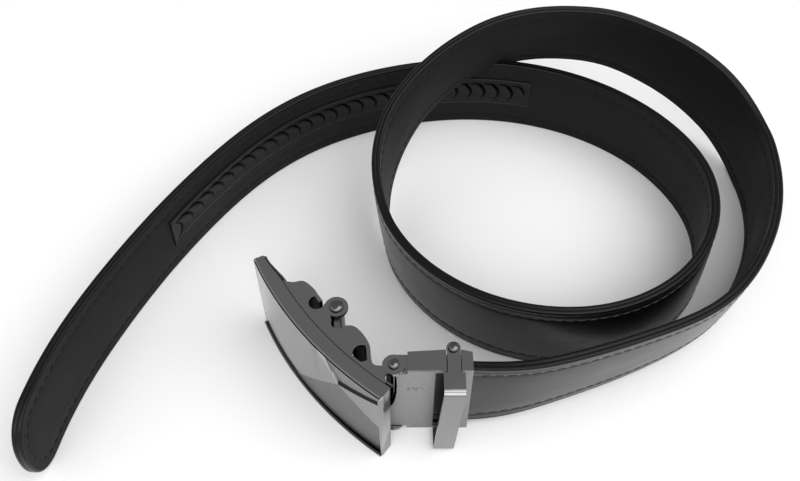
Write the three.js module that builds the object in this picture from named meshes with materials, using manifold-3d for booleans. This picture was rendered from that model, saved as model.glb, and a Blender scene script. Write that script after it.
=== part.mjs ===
// A ratchet belt: a stitched leather strap that stands on its edge in two loops, its clamp and its buckle.
// Millimetres, +Z up. The floor is z = 0, and the finished group is centred over it.
// Plan places are worked out from the hinge pin between the clamp and the buckle, which is at x = y = 0.
import * as THREE from "three";
import { mergeVertices } from "three/addons/utils/BufferGeometryUtils.js";
import Module from "manifold-3d";

const wasm = await Module();
wasm.setup();

// Clearance between pieces that are fitted to each other
const gap = 0.3;
// How far a cutter runs past the piece it cuts
const past = 1;

// Strap
const strapLength = 1005;
const strapWidth = 35;
const strapThickness = 3.4;
const edgeRound = 0.8;
const stitchInset = 4.5;
const grooveWidth = 1.6;
const grooveDepth = 0.3;
const tipLength = 15;
const tipRoundness = 2.3;
const tipTurns = [25, 42, 55, 66, 76, 84];
const sectionSpacing = 10;

// Rack of the ratchet, on the inner face of the strap's tail
const trackStart = 719.5;
const trackLength = 185;
const trackWidth = 14.5;
const trackRise = 1.8;
const trackBorder = 2;
const trackBorderHeight = 0.9;
const toothPitch = 6.35;
const toothHeight = 1.7;
const toothRoot = 0.6;
const toothCrest = [0.12, 0.28];
const trackPlain = 5;

// Metal shells of the buckle and the clamp
const wallThickness = 1.6;
const ledge = 0.4;
const metalHeight = strapWidth + 2 * (wallThickness + ledge);

// Height at which the clamp holds the strap, and where the strap has come down to the floor
const strapSeat = wallThickness + 0.5;
const strapDown = 130;

// Pins
const pinRadius = 1.2;
const headRadius = 1.8;
const pawlHeadRadius = 2.4;
const headHeight = 1.1;
const headEdge = 0.3;
const headTurns = [0, 25, 50, 70];

// Clamp
const clampStart = 4.4;
const clampLength = 20.9;
const clampSheet = 1.4;
const clampCavity = 4.2;
const clampShift = 1.0;
const clampCrown = 0.8;
const tongueReach = 1.6;
const knuckleRadius = 2.5;
const notchReach = 2.6;
const notchHeight = 14;
const notchUp = 0.76;
const windowStart = 13.3;
const postWidth = 3.5;
const screwRadius = 1.3;
const screwSink = 0.5;
const screwPlaces = [0.42, 0.62];
const screwUp = 0.69;

// Keeper loop
const neckWidth = 4.2;
const neckCentre = 19.2;
const keeperWidth = 6.9;
const keeperReach = 9;
const keeperSheet = 1.3;
const keeperSkew = 2.4;
const keeperEar = 2.3;
const keeperBend = 2.8;
const bendTurns = [0, 22, 45, 68, 90];

// Buckle
const buckleLength = 71.3;
const buckleBow = 4.6;
const buckleDepth = 11;
const hingeAlong = 7.65;
const hingeDepth = 11.3;
const buckleTurn = 129.4;
const hingeEar = 3.7;
const plateRim = 1.0;
const plateThickness = 1.6;
const lipThickness = 1;
const lipRound = 0.6;
const webThickness = 1.2;
const shoulderDepth = 3.4;
const shoulderTip = 1.9;
const shoulderTaperFrom = 0.8;
const bridgeThickness = 1.3;
const buckleStrips = 24;

// Pawl
const pawlAlong = 37.1;
const pawlDepth = 10.5;
const pawlEar = 4;
const pawlHub = 2.6;
const pawlReach = 8.6;
const pawlDrop = 6.2;
const pawlThickness = 1.8;
const pawlTooth = 1.6;

// The strap's route: at is the share of its length, heading the way it runs in degrees,
// lift its lower edge above the floor as a share of the width, lean how far its top leans outward in degrees.
const route = [
  { at: 0.0, heading: 0, lift: 0, lean: 0 },
  { at: 0.02, heading: 0, lift: 0, lean: 0 },
  { at: 0.045, heading: 17, lift: 0.08, lean: 6 },
  { at: 0.075, heading: 24, lift: 0.08, lean: 9 },
  { at: 0.105, heading: 32, lift: 0.05, lean: 11 },
  { at: 0.145, heading: 56, lift: 0, lean: 4.5 },
  { at: 0.185, heading: 82, lift: 0, lean: 1 },
  { at: 0.205, heading: 97, lift: 0, lean: 1.5 },
  { at: 0.235, heading: 130, lift: 0.26, lean: -3 },
  { at: 0.265, heading: 159, lift: 0.56, lean: -12 },
  { at: 0.285, heading: 173, lift: 0.75, lean: -16.5 },
  { at: 0.305, heading: 186, lift: 0.85, lean: -18.5 },
  { at: 0.325, heading: 197, lift: 0.9, lean: -18.5 },
  { at: 0.345, heading: 209, lift: 0.87, lean: -16 },
  { at: 0.365, heading: 223, lift: 0.74, lean: -11 },
  { at: 0.405, heading: 256, lift: 0.33, lean: 3.5 },
  { at: 0.445, heading: 292, lift: 0, lean: 6 },
  { at: 0.525, heading: 362, lift: 0, lean: 2 },
  { at: 0.605, heading: 438, lift: 0, lean: -3 },
  { at: 0.628, heading: 463, lift: 0, lean: -3 },
  { at: 0.668, heading: 495, lift: 0, lean: -4 },
  { at: 0.728, heading: 532, lift: 0, lean: -3 },
  { at: 0.808, heading: 569, lift: 0, lean: -3 },
  { at: 0.855, heading: 592, lift: 0, lean: -3.5 },
  { at: 0.905, heading: 603, lift: 0, lean: -3 },
  { at: 0.955, heading: 612, lift: 0, lean: -2 },
  { at: 1.0, heading: 628, lift: 0, lean: -2.5 },
];

// Back edge of the buckle's two walls: along as a share of its length, depth as a share of its depth.
const backEdge = [
  { along: 0.0, depth: 0.29 },
  { along: 0.03, depth: 0.31 },
  { along: 0.085, depth: 0.6 },
  { along: 0.13, depth: 0.75 },
  { along: 0.172, depth: 0.58 },
  { along: 0.254, depth: 0.89 },
  { along: 0.324, depth: 0.98 },
  { along: 0.387, depth: 0.92 },
  { along: 0.44, depth: 0.52 },
  { along: 0.5, depth: 0.62 },
  { along: 0.565, depth: 0.74 },
  { along: 0.625, depth: 0.79 },
  { along: 0.68, depth: 0.82 },
  { along: 0.74, depth: 0.74 },
  { along: 0.77, depth: 0.44 },
  { along: 0.83, depth: 0.2 },
  { along: 0.92, depth: 0.19 },
  { along: 1.0, depth: 0.27 },
];

// Round cuts in the walls, beside the two bridges and under the pawl's ear.
const wallCuts = [
  { along: 0.243, depth: 0.55, radius: 3.1 },
  { along: 0.442, depth: 0.66, radius: 2.5 },
  { along: 0.597, depth: 0.58, radius: 2.7 },
];

// Bridges between the two walls: the stretch of the back edge that each one follows.
const bridges = [
  { from: 0.176, to: 0.39 },
  { from: 0.578, to: 0.735 },
];

// Section of the buckle's shoulder: depth as a share of its reach, down as millimetres from its top edge.
const shoulder = [
  { depth: 1, down: 0 },
  { depth: 0.4, down: 0 },
  { depth: 0.12, down: 0.9 },
  { depth: 0, down: 2.4 },
];

// Facets of the face plate, each wound the same way: along and up are shares of its length and height,
// and drop is how far a corner lies below the plate's crown, as a share of its thickness.
const facets = {
  polished: [
    { along: 0.65, up: 0, drop: 0 },
    { along: 1, up: 0, drop: 0 },
    { along: 1, up: 1, drop: 0 },
    { along: 0.385, up: 1, drop: 0 },
    { along: 0.25, up: 0.72, drop: 0 },
  ],
  brushed: [
    { along: 0, up: 0, drop: 0.4 },
    { along: 0.65, up: 0, drop: 0 },
    { along: 0.25, up: 0.72, drop: 0 },
    { along: 0, up: 0.47, drop: 0.25 },
  ],
  wedge: [
    { along: 0, up: 0.47, drop: 0.25 },
    { along: 0.25, up: 0.72, drop: 0 },
    { along: 0, up: 0.88, drop: 0.1 },
  ],
  lowerSlope: [
    { along: 0, up: 0.88, drop: 0.1 },
    { along: 0.25, up: 0.72, drop: 0 },
    { along: 0.258, up: 0.755, drop: 0.5 },
    { along: 0, up: 0.915, drop: 0.5 },
  ],
  sideSlope: [
    { along: 0.25, up: 0.72, drop: 0 },
    { along: 0.385, up: 1, drop: 0 },
    { along: 0.37, up: 1, drop: 0.5 },
    { along: 0.258, up: 0.755, drop: 0.5 },
  ],
  sunkCorner: [
    { along: 0, up: 0.915, drop: 0.5 },
    { along: 0.258, up: 0.755, drop: 0.5 },
    { along: 0.37, up: 1, drop: 0.5 },
    { along: 0, up: 1, drop: 0.5 },
  ],
};

const leather = new THREE.MeshStandardMaterial({ color: 0x17171a, roughness: 0.55, metalness: 0 });
const nylon = new THREE.MeshStandardMaterial({ color: 0x101012, roughness: 0.4, metalness: 0 });
const gunmetal = new THREE.MeshStandardMaterial({ color: 0x77797d, roughness: 0.3, metalness: 1 });
const castMetal = new THREE.MeshStandardMaterial({ color: 0x85878a, roughness: 0.6, metalness: 1 });
const steel = new THREE.MeshStandardMaterial({ color: 0x9a9ca0, roughness: 0.25, metalness: 1 });

const radians = THREE.MathUtils.degToRad;

// A closed geometry as a solid that can be joined and cut
function toSolid(geometry) {
  const bare = geometry.clone();
  bare.deleteAttribute("normal");
  bare.deleteAttribute("uv");
  const merged = mergeVertices(bare, 1e-4);
  return new wasm.Manifold(
    new wasm.Mesh({
      numProp: 3,
      vertProperties: merged.attributes.position.array,
      triVerts: new Uint32Array(merged.index.array),
    }),
  );
}

function toGeometry(solid) {
  const mesh = solid.getMesh();
  const geometry = new THREE.BufferGeometry();
  geometry.setAttribute("position", new THREE.BufferAttribute(mesh.vertProperties, 3));
  geometry.setIndex(new THREE.BufferAttribute(mesh.triVerts, 1));
  return geometry;
}

const joined = (solids) => solids.reduce((a, b) => a.add(b));
const cutBy = (solid, cutters) => cutters.reduce((a, b) => a.subtract(b), solid);

// Rings of points with as many points each, joined side by side and closed at both ends.
// outline is the flat shape that the rings repeat.
function loft(rings, outline) {
  if (THREE.ShapeUtils.isClockWise(outline)) {
    return loft(rings.map((ring) => [...ring].reverse()), [...outline].reverse());
  }
  const count = outline.length;
  const index = [];
  for (let r = 0; r < rings.length - 1; r++) {
    for (let i = 0; i < count; i++) {
      const a = r * count + i;
      const b = r * count + ((i + 1) % count);
      index.push(a, b, b + count, a, b + count, a + count);
    }
  }
  const last = (rings.length - 1) * count;
  for (const [a, b, c] of THREE.ShapeUtils.triangulateShape(outline, [])) {
    index.push(a, c, b, last + a, last + b, last + c);
  }
  const geometry = new THREE.BufferGeometry();
  geometry.setAttribute("position", new THREE.Float32BufferAttribute(rings.flat().flat(), 3));
  geometry.setIndex(index);
  return geometry;
}

// A flat outline in plan, raised from bottom to top
function plate(shape, bottom, top) {
  const geometry = new THREE.ExtrudeGeometry(shape, { depth: top - bottom, bevelEnabled: false });
  return toSolid(geometry.translate(0, 0, bottom));
}

const polygon = (points) => new THREE.Shape(points.map(([x, y]) => new THREE.Vector2(x, y)));
const box = (x0, x1, y0, y1, z0, z1) =>
  plate(polygon([[x0, y0], [x1, y0], [x1, y1], [x0, y1]]), z0, z1);

function rod(x, y, radius, bottom, top, sides = 24) {
  const geometry = new THREE.CylinderGeometry(radius, radius, top - bottom, sides);
  return toSolid(geometry.rotateX(Math.PI / 2).translate(x, y, (bottom + top) / 2));
}

// A hole for a pin, right through the metal's height
const pinHole = (x, y) => rod(x, y, pinRadius + gap, -past, metalHeight + past);

// A smooth value from a table's column, at a share of the way along it
function read(table, column, at) {
  const last = table.length - 1;
  let i = 0;
  while (i < last - 1 && table[i + 1].at < at) i++;
  const slope = (k) => (table[k + 1][column] - table[k][column]) / (table[k + 1].at - table[k].at);
  const tangent = (k) => {
    if (k === 0) return 0;
    if (k === last) return slope(last - 1);
    const before = table[k].at - table[k - 1].at;
    const after = table[k + 1].at - table[k].at;
    return (slope(k - 1) * after + slope(k) * before) / (before + after);
  };
  const span = table[i + 1].at - table[i].at;
  const t = (at - table[i].at) / span;
  const blend = 3 * t ** 2 - 2 * t ** 3;
  const level = (1 - blend) * table[i][column] + blend * table[i + 1][column];
  const leaving = (t ** 3 - 2 * t ** 2 + t) * span * tangent(i);
  const arriving = (t ** 3 - t ** 2) * span * tangent(i + 1);
  return level + leaving + arriving;
}

// The strap's lower edge, followed in steps of about a millimetre from the clamp's inner end
function followRoute() {
  const steps = Math.round(strapLength);
  const step = strapLength / steps;
  const places = [{ x: clampStart + gap * 2, y: clampShift }];
  for (let i = 0; i < steps; i++) {
    const heading = radians(read(route, "heading", (i + 0.5) / steps));
    const { x, y } = places[i];
    places.push({ x: x + Math.cos(heading) * step, y: y + Math.sin(heading) * step });
  }
  return places;
}
const routePlaces = followRoute();

// The point of the strap at a length along it, a height up its face and a depth outward from its middle
function onStrap(length, up, out) {
  const at = THREE.MathUtils.clamp(length / strapLength, 0, 1);
  const place = at * (routePlaces.length - 1);
  const i = Math.min(Math.floor(place), routePlaces.length - 2);
  const x = THREE.MathUtils.lerp(routePlaces[i].x, routePlaces[i + 1].x, place - i);
  const y = THREE.MathUtils.lerp(routePlaces[i].y, routePlaces[i + 1].y, place - i);
  const heading = radians(read(route, "heading", at));
  const lean = radians(read(route, "lean", at));
  const held = 1 - THREE.MathUtils.smoothstep(length, clampLength, strapDown);
  const lift = Math.max(0, read(route, "lift", at)) * strapWidth + strapSeat * held;
  const sideways = up * Math.sin(lean) + out * Math.cos(lean);
  const base = lift + Math.abs(Math.sin(lean)) * strapThickness / 2;
  return [
    x + Math.sin(heading) * sideways,
    y - Math.cos(heading) * sideways,
    base + up * Math.cos(lean) - out * Math.sin(lean),
  ];
}

// Section of the strap: rounded edges and a shallow groove along each stitch row, on both faces
function strapOutline() {
  const half = strapThickness / 2;
  const groove = grooveWidth / 2;
  const face = [
    [edgeRound, half],
    [stitchInset - groove, half],
    [stitchInset, half - grooveDepth],
    [stitchInset + groove, half],
  ];
  const upper = face.map(([up, out]) => [strapWidth - up, out]).reverse();
  const outer = [[0, half - edgeRound], ...face, ...upper, [strapWidth, half - edgeRound]];
  const inner = outer.map(([up, out]) => [up, -out]).reverse();
  return [...outer, ...inner].map(([up, out]) => new THREE.Vector2(up, out));
}

function makeStrap() {
  const outline = strapOutline();
  const stations = [];
  const plain = strapLength - tipLength;
  const count = Math.ceil(plain / sectionSpacing);
  for (let i = 0; i <= count; i++) stations.push({ length: (plain * i) / count, width: 1 });
  for (const turn of tipTurns) {
    const share = Math.sin(radians(turn));
    const width = (1 - share ** tipRoundness) ** (1 / tipRoundness);
    stations.push({ length: plain + tipLength * share, width });
  }
  const rings = stations.map(({ length, width }) =>
    outline.map(({ x: up, y: out }) => {
      const middle = strapWidth / 2;
      return onStrap(length, middle + (up - middle) * width, out);
    }),
  );
  return loft(rings, outline);
}

// The rack: a flat border round a field of saw teeth, whose steep sides face the clamp
function makeTrack() {
  const half = trackWidth / 2;
  const field = half - trackBorder;
  const seat = strapThickness / 2 + gap;
  const section = (tooth) => [
    [-half, -seat],
    [half, -seat],
    [half, -seat - trackBorderHeight],
    [field, -seat - trackBorderHeight],
    [field, -seat - tooth],
    [-field, -seat - tooth],
    [-field, -seat - trackBorderHeight],
    [-half, -seat - trackBorderHeight],
  ];
  const outline = section(toothHeight).map(([up, out]) => new THREE.Vector2(up, out));
  const rings = [];
  const middle = strapWidth / 2 + trackRise;
  const addRing = (length, tooth) =>
    rings.push(section(tooth).map(([up, out]) => onStrap(trackStart + length, middle + up, out)));
  // The plain ends are level with the border, short of it by a hair so that their corners stay apart
  const hair = 0.01;
  const level = trackBorderHeight - hair;
  addRing(0, level);
  addRing(trackBorder, level);
  const teeth = Math.floor((trackLength - trackBorder - trackPlain) / toothPitch);
  for (let i = 0; i < teeth; i++) {
    const start = trackBorder + gap / 2 + i * toothPitch;
    addRing(start, toothRoot);
    addRing(start + toothPitch * toothCrest[0], toothHeight);
    addRing(start + toothPitch * toothCrest[1], toothHeight);
  }
  const end = trackBorder + gap + teeth * toothPitch;
  addRing(end, toothRoot);
  addRing(end + gap, level);
  addRing(trackLength, level);
  return loft(rings, outline);
}

// A pin with a domed head on top
function makePin(x, y, bottom, seat, reach = headRadius) {
  const dome = [new THREE.Vector2(0, bottom), new THREE.Vector2(pinRadius, bottom)];
  dome.push(new THREE.Vector2(pinRadius, seat), new THREE.Vector2(reach, seat));
  for (const turn of headTurns) {
    const angle = radians(turn);
    const rise = seat + headHeight * (headEdge + (1 - headEdge) * Math.sin(angle));
    dome.push(new THREE.Vector2(reach * Math.cos(angle), rise));
  }
  dome.push(new THREE.Vector2(0, seat + headHeight));
  return new THREE.LatheGeometry(dome, 20).rotateX(Math.PI / 2).translate(x, y, 0);
}

const lowWall = [0, wallThickness];
const highWall = [metalHeight - wallThickness, metalHeight];
const innerLow = wallThickness + gap;
const innerHigh = metalHeight - wallThickness - gap;
const clampFront = clampShift - clampCavity / 2 - clampSheet;
const clampBack = clampShift + clampCavity / 2 + clampSheet;
const clampEnd = clampStart + clampLength;
const slotHalf = neckWidth / 2 + gap;
const keeperPinPlace = clampBack + gap + pinRadius;

// Clamp: two walls, a back, a plain front with a window beside it, an end post and the hinge's knuckle
function makeClampBody() {
  const crown = clampBack + clampCrown;
  const leftWall = [
    [clampStart, clampFront],
    [neckCentre - slotHalf, clampFront],
    [neckCentre - slotHalf, crown],
    [clampStart, clampBack],
  ];
  const rightWall = [
    [neckCentre + slotHalf, clampFront],
    [clampEnd, clampFront],
    [clampEnd, clampBack],
    [neckCentre + slotHalf, crown],
  ];
  const walls = [lowWall, highWall].flatMap(([low, high]) => [
    plate(polygon(leftWall), low, high),
    plate(polygon(rightWall), low, high),
  ]);
  const window = { from: windowStart, to: clampEnd - postWidth };
  const inner = [innerLow, innerHigh];
  const back = box(clampStart - tongueReach, clampEnd, clampBack - clampSheet, clampBack, ...inner);
  const backRest = box(clampStart, clampEnd, clampBack - clampSheet, clampBack, 0, metalHeight);
  const slotCut = ([low, high]) => {
    const sides = [neckCentre - slotHalf, neckCentre + slotHalf];
    return box(...sides, clampFront - past, crown + past, low - gap, high + gap);
  };
  const front = box(clampStart, window.from, clampFront, clampFront + clampSheet, 0, metalHeight);
  const post = box(window.to, clampEnd, clampFront, clampFront + clampSheet, 0, metalHeight);
  const tongueFront = box(-tongueReach, clampStart, clampFront, clampFront + clampSheet, ...inner);
  const endWall = box(0, clampStart, clampFront, clampBack, ...inner);
  const knuckle = rod(0, 0, knuckleRadius, ...inner);
  const body = joined([...walls, back, backRest, front, post, tongueFront, endWall, knuckle]);
  const screws = screwPlaces.map((share) => {
    const cut = new THREE.CylinderGeometry(screwRadius, screwRadius, screwSink * 2, 16);
    return toSolid(cut.translate(windowStart * share, clampFront, metalHeight * screwUp));
  });
  // The front sheet is notched in a leaf shape beside the knuckle, so that the buckle can swing
  const leaf = new THREE.CylinderGeometry(1, 1, clampSheet * 2, 20).scale(notchReach, 1, notchHeight);
  const notch = toSolid(leaf.translate(-tongueReach, clampFront, metalHeight * notchUp));
  return cutBy(body, [slotCut(lowWall), slotCut(highWall), pinHole(0, 0), notch, ...screws]);
}

// Keeper: a bent band for the tail, whose two necks sit in the clamp's slots and are held by one pin
function makeKeeper() {
  const back = clampFront - gap * 2;
  const neck = new THREE.Shape();
  neck.moveTo(neckCentre - neckWidth / 2, back - keeperBend);
  neck.lineTo(neckCentre - neckWidth / 2, keeperPinPlace);
  neck.absarc(neckCentre, keeperPinPlace, keeperEar, Math.PI, 0, true);
  neck.lineTo(neckCentre + neckWidth / 2, back - keeperBend);
  const necks = [lowWall, highWall].map(([low, high]) => plate(neck, low, high));
  return joined([makeBand(back), ...necks]).subtract(pinHole(neckCentre, keeperPinPlace));
}

// The keeper's band, bent down in front from its top arm and back again below, and slanting to one side
function makeBand(back) {
  const front = clampFront - keeperReach;
  const rings = [];
  const addRing = (y, z, inwardY, inwardZ) => {
    const middle = neckCentre - keeperSkew * (1 - z / metalHeight);
    const corner = (side, depth) => [
      middle + (side * keeperWidth) / 2,
      y + inwardY * depth,
      z + inwardZ * depth,
    ];
    rings.push([corner(-1, 0), corner(1, 0), corner(1, keeperSheet), corner(-1, keeperSheet)]);
  };
  const bend = (turn, side) => {
    const angle = radians(turn);
    const z = metalHeight / 2 + side * (metalHeight / 2 - keeperBend * (1 - Math.cos(angle)));
    addRing(front + keeperBend * (1 - Math.sin(angle)), z, Math.sin(angle), -side * Math.cos(angle));
  };
  addRing(back, metalHeight, 0, -1);
  for (const turn of bendTurns) bend(turn, 1);
  for (const turn of [...bendTurns].reverse()) bend(turn, -1);
  addRing(back, 0, 0, 1);
  const outline = [[-1, 0], [1, 0], [1, 1], [-1, 1]].map(([x, y]) => new THREE.Vector2(x, y));
  return asSolid(rings, outline);
}

// The face's bow: a place along, depth behind the face and height, in the buckle's own frame
const bowRadius = (buckleLength ** 2 / 4 + buckleBow ** 2) / (2 * buckleBow);
const bowAngle = Math.asin(buckleLength / 2 / bowRadius);
function onBuckle(along, depth, up) {
  const angle = (along / buckleLength - 0.5) * 2 * bowAngle;
  const radius = bowRadius - depth;
  return [
    buckleLength / 2 + radius * Math.sin(angle),
    bowRadius - buckleBow - radius * Math.cos(angle),
    up,
  ];
}

// A convex outline of along and up, cut to one strip of the buckle's length
function clipToStrip(corners, low, high) {
  const clip = (list, keep, limit) =>
    list.flatMap((corner, i) => {
      const next = list[(i + 1) % list.length];
      const out = keep(corner.along) ? [corner] : [];
      if (keep(corner.along) !== keep(next.along)) {
        const t = (limit - corner.along) / (next.along - corner.along);
        out.push({
          along: limit,
          up: corner.up + (next.up - corner.up) * t,
          drop: corner.drop + (next.drop - corner.drop) * t,
        });
      }
      return out;
    });
  const above = clip(corners, (along) => along > low + 1e-9, low);
  return clip(above, (along) => along < high - 1e-9, high);
}

// Rounded to a micron, so that strips and facets that meet share the same corners
const toMicron = (point) => point.map((value) => Math.round(value * 1000) / 1000);

// The face plate: facets side by side as one closed sheet that follows the bow, between the shell's lips.
// A side of a facet that no other facet shares is closed by a wall from front to back.
function makeFacePlate() {
  const fields = Object.values(facets);
  const start = lipThickness + gap;
  const length = buckleLength - 2 * start;
  const low = plateRim / 2;
  const height = metalHeight - plateRim;
  const front = ({ drop }) => drop * plateThickness;
  const back = () => plateThickness;
  const corners = [];
  const place = (corner, depth) =>
    toMicron(onBuckle(start + corner.along * length, depth(corner), low + corner.up * height));
  const parts = fields.flatMap((field) =>
    Array.from({ length: buckleStrips + 2 }, (_, i) =>
      clipToStrip(field, (i - 1) / buckleStrips, i / buckleStrips),
    ).filter((part) => part.length > 2),
  );
  const key = (a, b) => [place(a, back), place(b, back)].join(" ");
  const sides = new Set(
    parts.flatMap((part) => part.map((corner, i) => key(corner, part[(i + 1) % part.length]))),
  );
  for (const part of parts) {
    const outline = part.map(({ along, up }) => new THREE.Vector2(along, up));
    for (const triangle of THREE.ShapeUtils.triangulateShape(outline, [])) {
      const [a, b, c] = triangle.map((i) => part[i]);
      corners.push(place(a, front), place(b, front), place(c, front));
      corners.push(place(a, back), place(c, back), place(b, back));
    }
    part.forEach((a, i) => {
      const b = part[(i + 1) % part.length];
      if (sides.has(key(b, a))) return;
      corners.push(place(a, back), place(b, back), place(b, front));
      corners.push(place(a, back), place(b, front), place(a, front));
    });
  }
  const geometry = new THREE.BufferGeometry();
  geometry.setAttribute("position", new THREE.Float32BufferAttribute(corners.flat(), 3));
  return toSolid(geometry);
}

// A loft as a solid, turned the right way round whichever way its outline was wound
function asSolid(rings, outline) {
  const geometry = loft(rings, outline);
  const solid = toSolid(geometry);
  if (solid.volume() > 0) return solid;
  geometry.setIndex(Array.from(geometry.index.array).reverse());
  return toSolid(geometry);
}

// The buckle's channel: a web behind the face plate with a rounded shoulder above and below
function makeWeb() {
  const front = plateThickness + gap;
  const rings = [];
  for (let i = 0; i <= buckleStrips; i++) {
    const share = i / buckleStrips;
    const taper = THREE.MathUtils.smoothstep(share, shoulderTaperFrom, 1);
    const reach = THREE.MathUtils.lerp(shoulderDepth, shoulderTip, taper);
    const upper = shoulder.map(({ depth, down }) => [front + reach * depth, metalHeight - down]);
    const lower = upper.map(([depth, up]) => [depth, metalHeight - up]).reverse();
    const inside = [
      [front + reach, wallThickness],
      [front + webThickness, wallThickness + ledge],
      [front + webThickness, metalHeight - wallThickness - ledge],
      [front + reach, metalHeight - wallThickness],
    ];
    rings.push([...upper, ...lower, ...inside].map(([depth, up]) =>
      onBuckle(share * buckleLength, depth, up),
    ));
  }
  const outline = rings[0].map(([, depth, up]) => new THREE.Vector2(depth, up));
  return asSolid(rings, outline);
}

// A lip that closes one end of the shell, round the end of the face plate
function makeLip(from, to, reach) {
  const depth = plateThickness + gap + reach;
  const outline = [
    [lipRound, 0],
    [depth, 0],
    [depth, metalHeight],
    [lipRound, metalHeight],
    [0, metalHeight - lipRound],
    [0, lipRound],
  ];
  const rings = [from, to].map((along) => outline.map(([deep, up]) => onBuckle(along, deep, up)));
  return asSolid(rings, outline.map(([deep, up]) => new THREE.Vector2(deep, up)));
}

// The smooth back edge of the walls, as plan points in the buckle's frame
function backEdgePoints() {
  const corners = backEdge.map(
    ({ along, depth }) => new THREE.Vector2(along * buckleLength, depth * buckleDepth),
  );
  return new THREE.SplineCurve(corners).getPoints(90);
}

function makeBuckleFrame() {
  const front = plateThickness + gap + webThickness / 2;
  const edge = backEdgePoints();
  const face = [];
  for (let i = buckleStrips; i >= 0; i--) {
    const [along, depth] = onBuckle((i / buckleStrips) * buckleLength, front, 0);
    face.push(new THREE.Vector2(along, depth));
  }
  const outline = new THREE.Shape([...edge, ...face]);
  const levels = [
    [ledge, wallThickness],
    [metalHeight - wallThickness, metalHeight - ledge],
  ];
  const walls = levels.map(([low, high]) => plate(outline, low, high));
  const neck = (along, depth, levels) =>
    box(along - pinRadius, along + pinRadius, front, depth, ...levels);
  const ears = levels.flatMap(([low, high]) => [
    rod(hingeAlong, hingeDepth, hingeEar, low, high),
    rod(pawlAlong, pawlDepth, pawlEar, low, high),
    neck(hingeAlong, hingeDepth, [low, high]),
    neck(pawlAlong, pawlDepth, [low, high]),
  ]);
  const cuts = wallCuts.map(({ along, depth, radius }) =>
    rod(along * buckleLength, depth * buckleDepth, radius, -past, metalHeight + past),
  );
  const pinCuts = [pinHole(hingeAlong, hingeDepth), pinHole(pawlAlong, pawlDepth)];
  const cutWalls = cutBy(joined(walls), cuts);
  const spans = bridges.map(({ from, to }) => makeBridge(edge, from, to));
  const lips = [
    makeLip(0, lipThickness, shoulderDepth),
    makeLip(buckleLength - lipThickness, buckleLength, shoulderTip),
  ];
  return cutBy(joined([cutWalls, ...ears, ...spans, ...lips, makeWeb()]), pinCuts);
}

// A bridge: a sheet that joins the two walls and follows a stretch of their back edge
function makeBridge(edge, from, to) {
  const run = edge.filter(({ x }) => x >= from * buckleLength && x <= to * buckleLength);
  const inner = run.map((point, i) => {
    const before = run[Math.max(0, i - 1)];
    const after = run[Math.min(run.length - 1, i + 1)];
    const side = new THREE.Vector2(after.y - before.y, before.x - after.x).normalize();
    return point.clone().addScaledVector(side, bridgeThickness);
  });
  return plate(new THREE.Shape([...run, ...inner.reverse()]), ledge, metalHeight - ledge);
}

// Pawl: a hub on its pin with a blade whose toothed edge reaches in towards the strap's path
function makePawl() {
  const hub = rod(pawlAlong, pawlDepth, pawlHub, innerLow, innerHigh);
  const pin = new THREE.Vector2(pawlAlong, pawlDepth);
  const tip = new THREE.Vector2(pawlAlong - pawlReach, pawlDepth - pawlDrop);
  const along = pin.clone().sub(tip).normalize();
  const side = new THREE.Vector2(-along.y, along.x).multiplyScalar(pawlThickness / 2);
  const blade = new THREE.Shape([
    tip.clone().add(side),
    new THREE.Vector2(tip.x, tip.y - pawlTooth),
    tip.clone().sub(side).addScaledVector(along, pawlTooth),
    pin.clone().sub(side),
    pin.clone().add(side),
  ]);
  const body = hub.add(plate(blade, innerLow, innerHigh));
  return body.subtract(pinHole(pawlAlong, pawlDepth));
}

function addMesh(parent, name, shape, material) {
  const geometry = shape.isBufferGeometry ? shape : toGeometry(shape);
  const mesh = new THREE.Mesh(geometry, material);
  mesh.name = name;
  parent.add(mesh);
}

const belt = new THREE.Group();
addMesh(belt, "strap", makeStrap(), leather);
addMesh(belt, "ratchet_track", makeTrack(), nylon);
addMesh(belt, "clamp_body", makeClampBody(), castMetal);
addMesh(belt, "keeper", makeKeeper(), gunmetal);
addMesh(belt, "keeper_pin", makePin(neckCentre, keeperPinPlace, gap, metalHeight + gap), steel);
addMesh(belt, "hinge_pin", makePin(0, 0, gap, metalHeight - ledge + gap), steel);

// The buckle stands open at its hinge, so its own frame is turned about the hinge pin
const buckle = new THREE.Group();
buckle.rotation.z = radians(buckleTurn);
const buckleParts = new THREE.Group();
buckleParts.scale.y = -1;
buckleParts.position.set(-hingeAlong, hingeDepth, 0);
buckle.add(buckleParts);
belt.add(buckle);
addMesh(buckleParts, "buckle_frame", makeBuckleFrame(), gunmetal);
addMesh(buckleParts, "face_plate", makeFacePlate(), gunmetal);
addMesh(buckleParts, "pawl", makePawl(), steel);
const pawlPin = makePin(pawlAlong, pawlDepth, ledge, metalHeight - ledge + gap, pawlHeadRadius);
addMesh(buckleParts, "pawl_pin", pawlPin, steel);

// Centre the belt over the floor
const bounds = new THREE.Box3().setFromObject(belt, true);
const middle = bounds.getCenter(new THREE.Vector3());
belt.position.set(-middle.x, -middle.y, -bounds.min.z);

export default belt;
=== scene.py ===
# A ratchet belt that stands on its edge in two loops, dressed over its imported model
import math

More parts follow.
